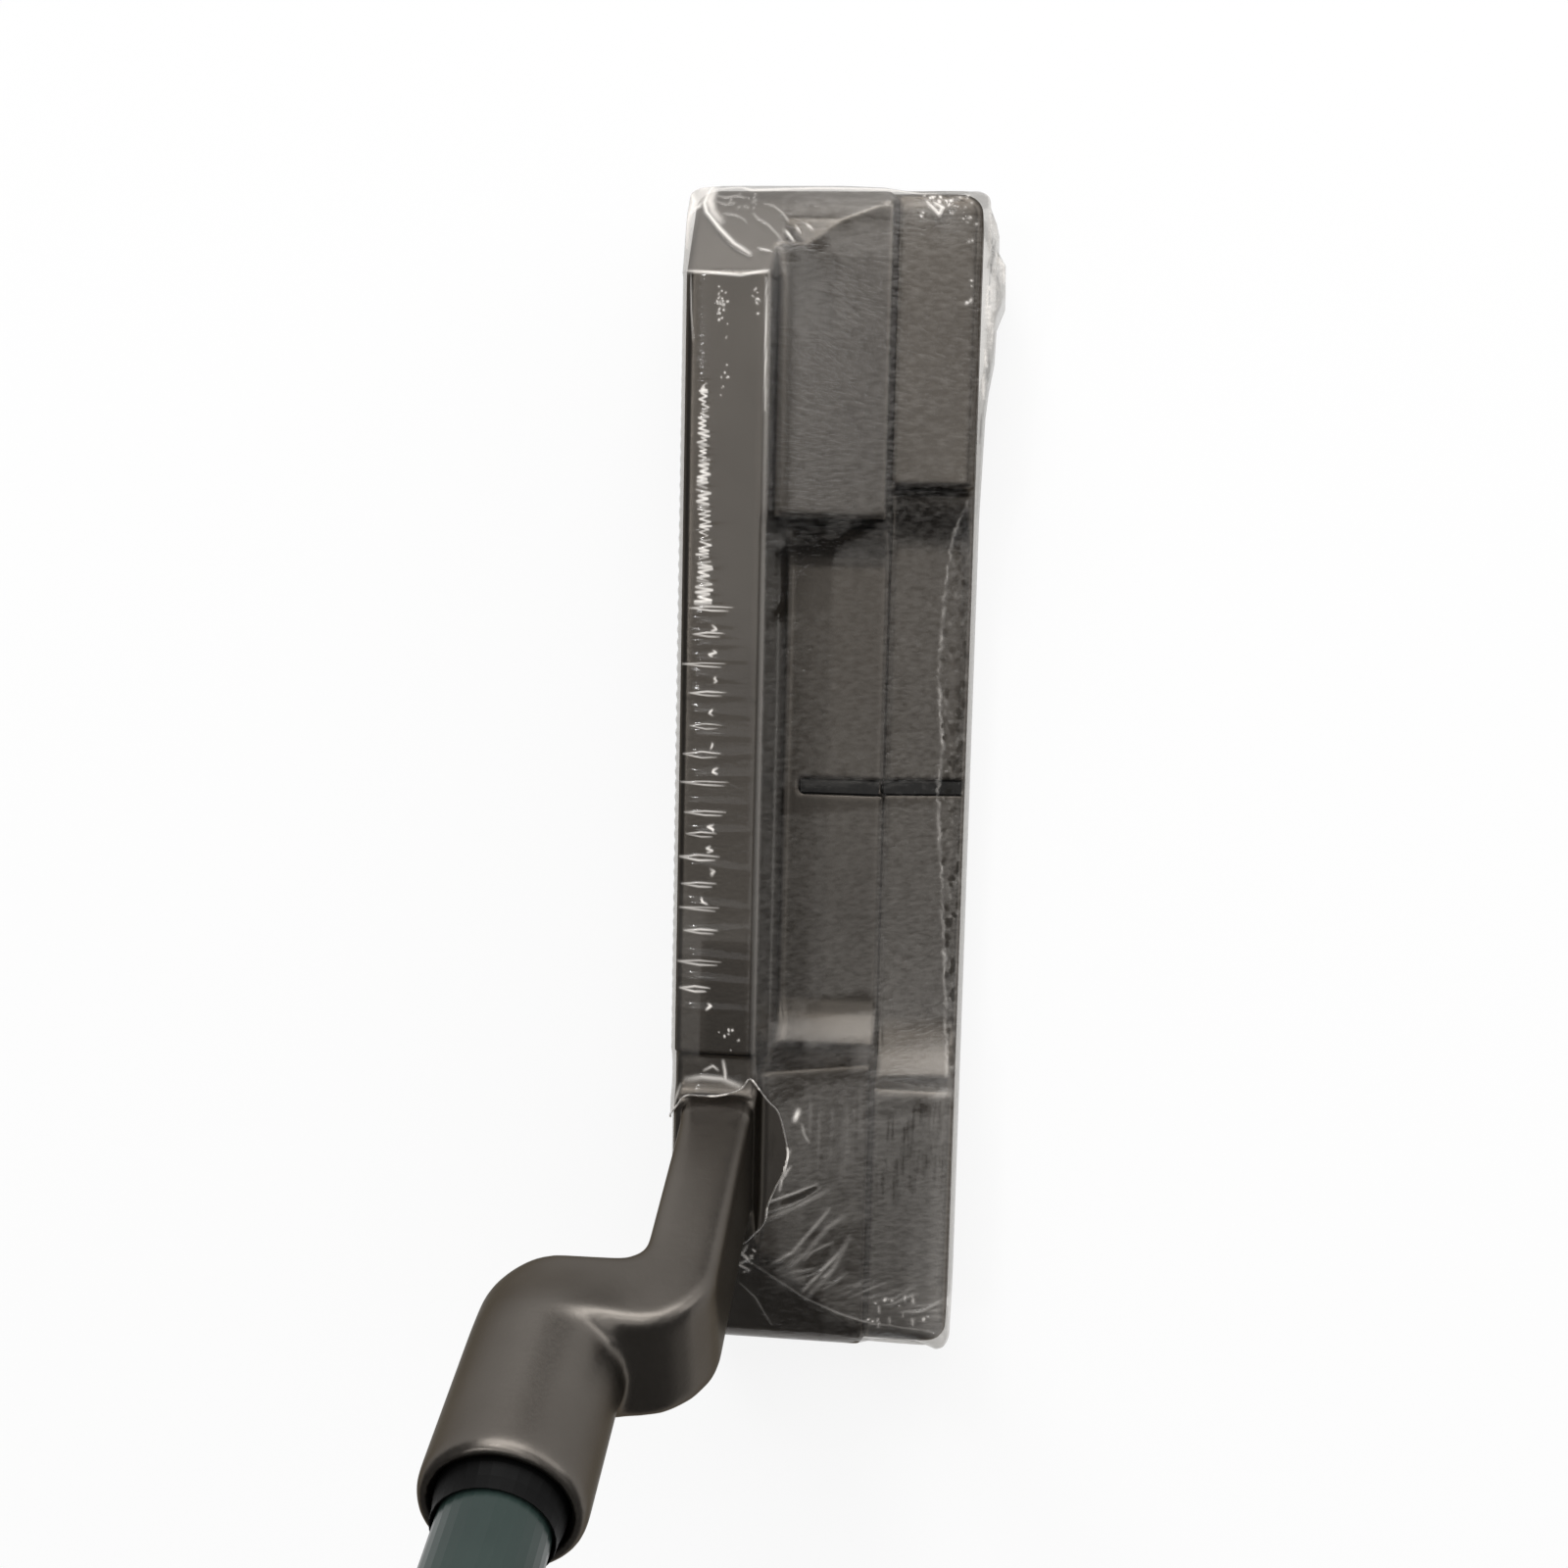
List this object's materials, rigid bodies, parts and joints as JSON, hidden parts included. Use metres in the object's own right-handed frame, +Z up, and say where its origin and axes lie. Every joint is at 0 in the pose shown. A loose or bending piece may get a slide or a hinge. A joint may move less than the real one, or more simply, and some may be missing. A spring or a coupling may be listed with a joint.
{
  "type": "blade putter",
  "caption": "Right-handed blade putter: weighted head with a stepped rear flange, offset Z-shaped neck, stepped steel shaft, pistol grip and clear film wrapped round the head.",
  "frame": {"origin": "on the ground under the sighting line, midway between the cavity's ends, on the underside of the film", "axes": "+X from toe to heel, +Y from the face to the rear of the head, +Z up from the sole"},
  "size_m": [0.398, 0.0475, 0.8136],
  "materials": {
    "gunmetal": "bead-blasted, dark warm grey, satin",
    "sight_paint": "matt black paint fill",
    "shaft_paint": "satin dark green-grey paint on steel",
    "black_epoxy": "cured black adhesive, glossy",
    "clear_film": "clear heat-shrunk film, glossy, creased",
    "grip_rubber": "matt black rubber",
    "tape_paper": "crepe paper tape"
  },
  "bodies": {
    "root": {"putter_head": "gunmetal", "sight_line_cavity": "sight_paint", "sight_line_flange": "sight_paint", "shaft": "shaft_paint", "hosel_bond": "black_epoxy", "head_film": "clear_film", "grip": "grip_rubber", "grip_tape": "tape_paper"}
  },
  "joints": []
}
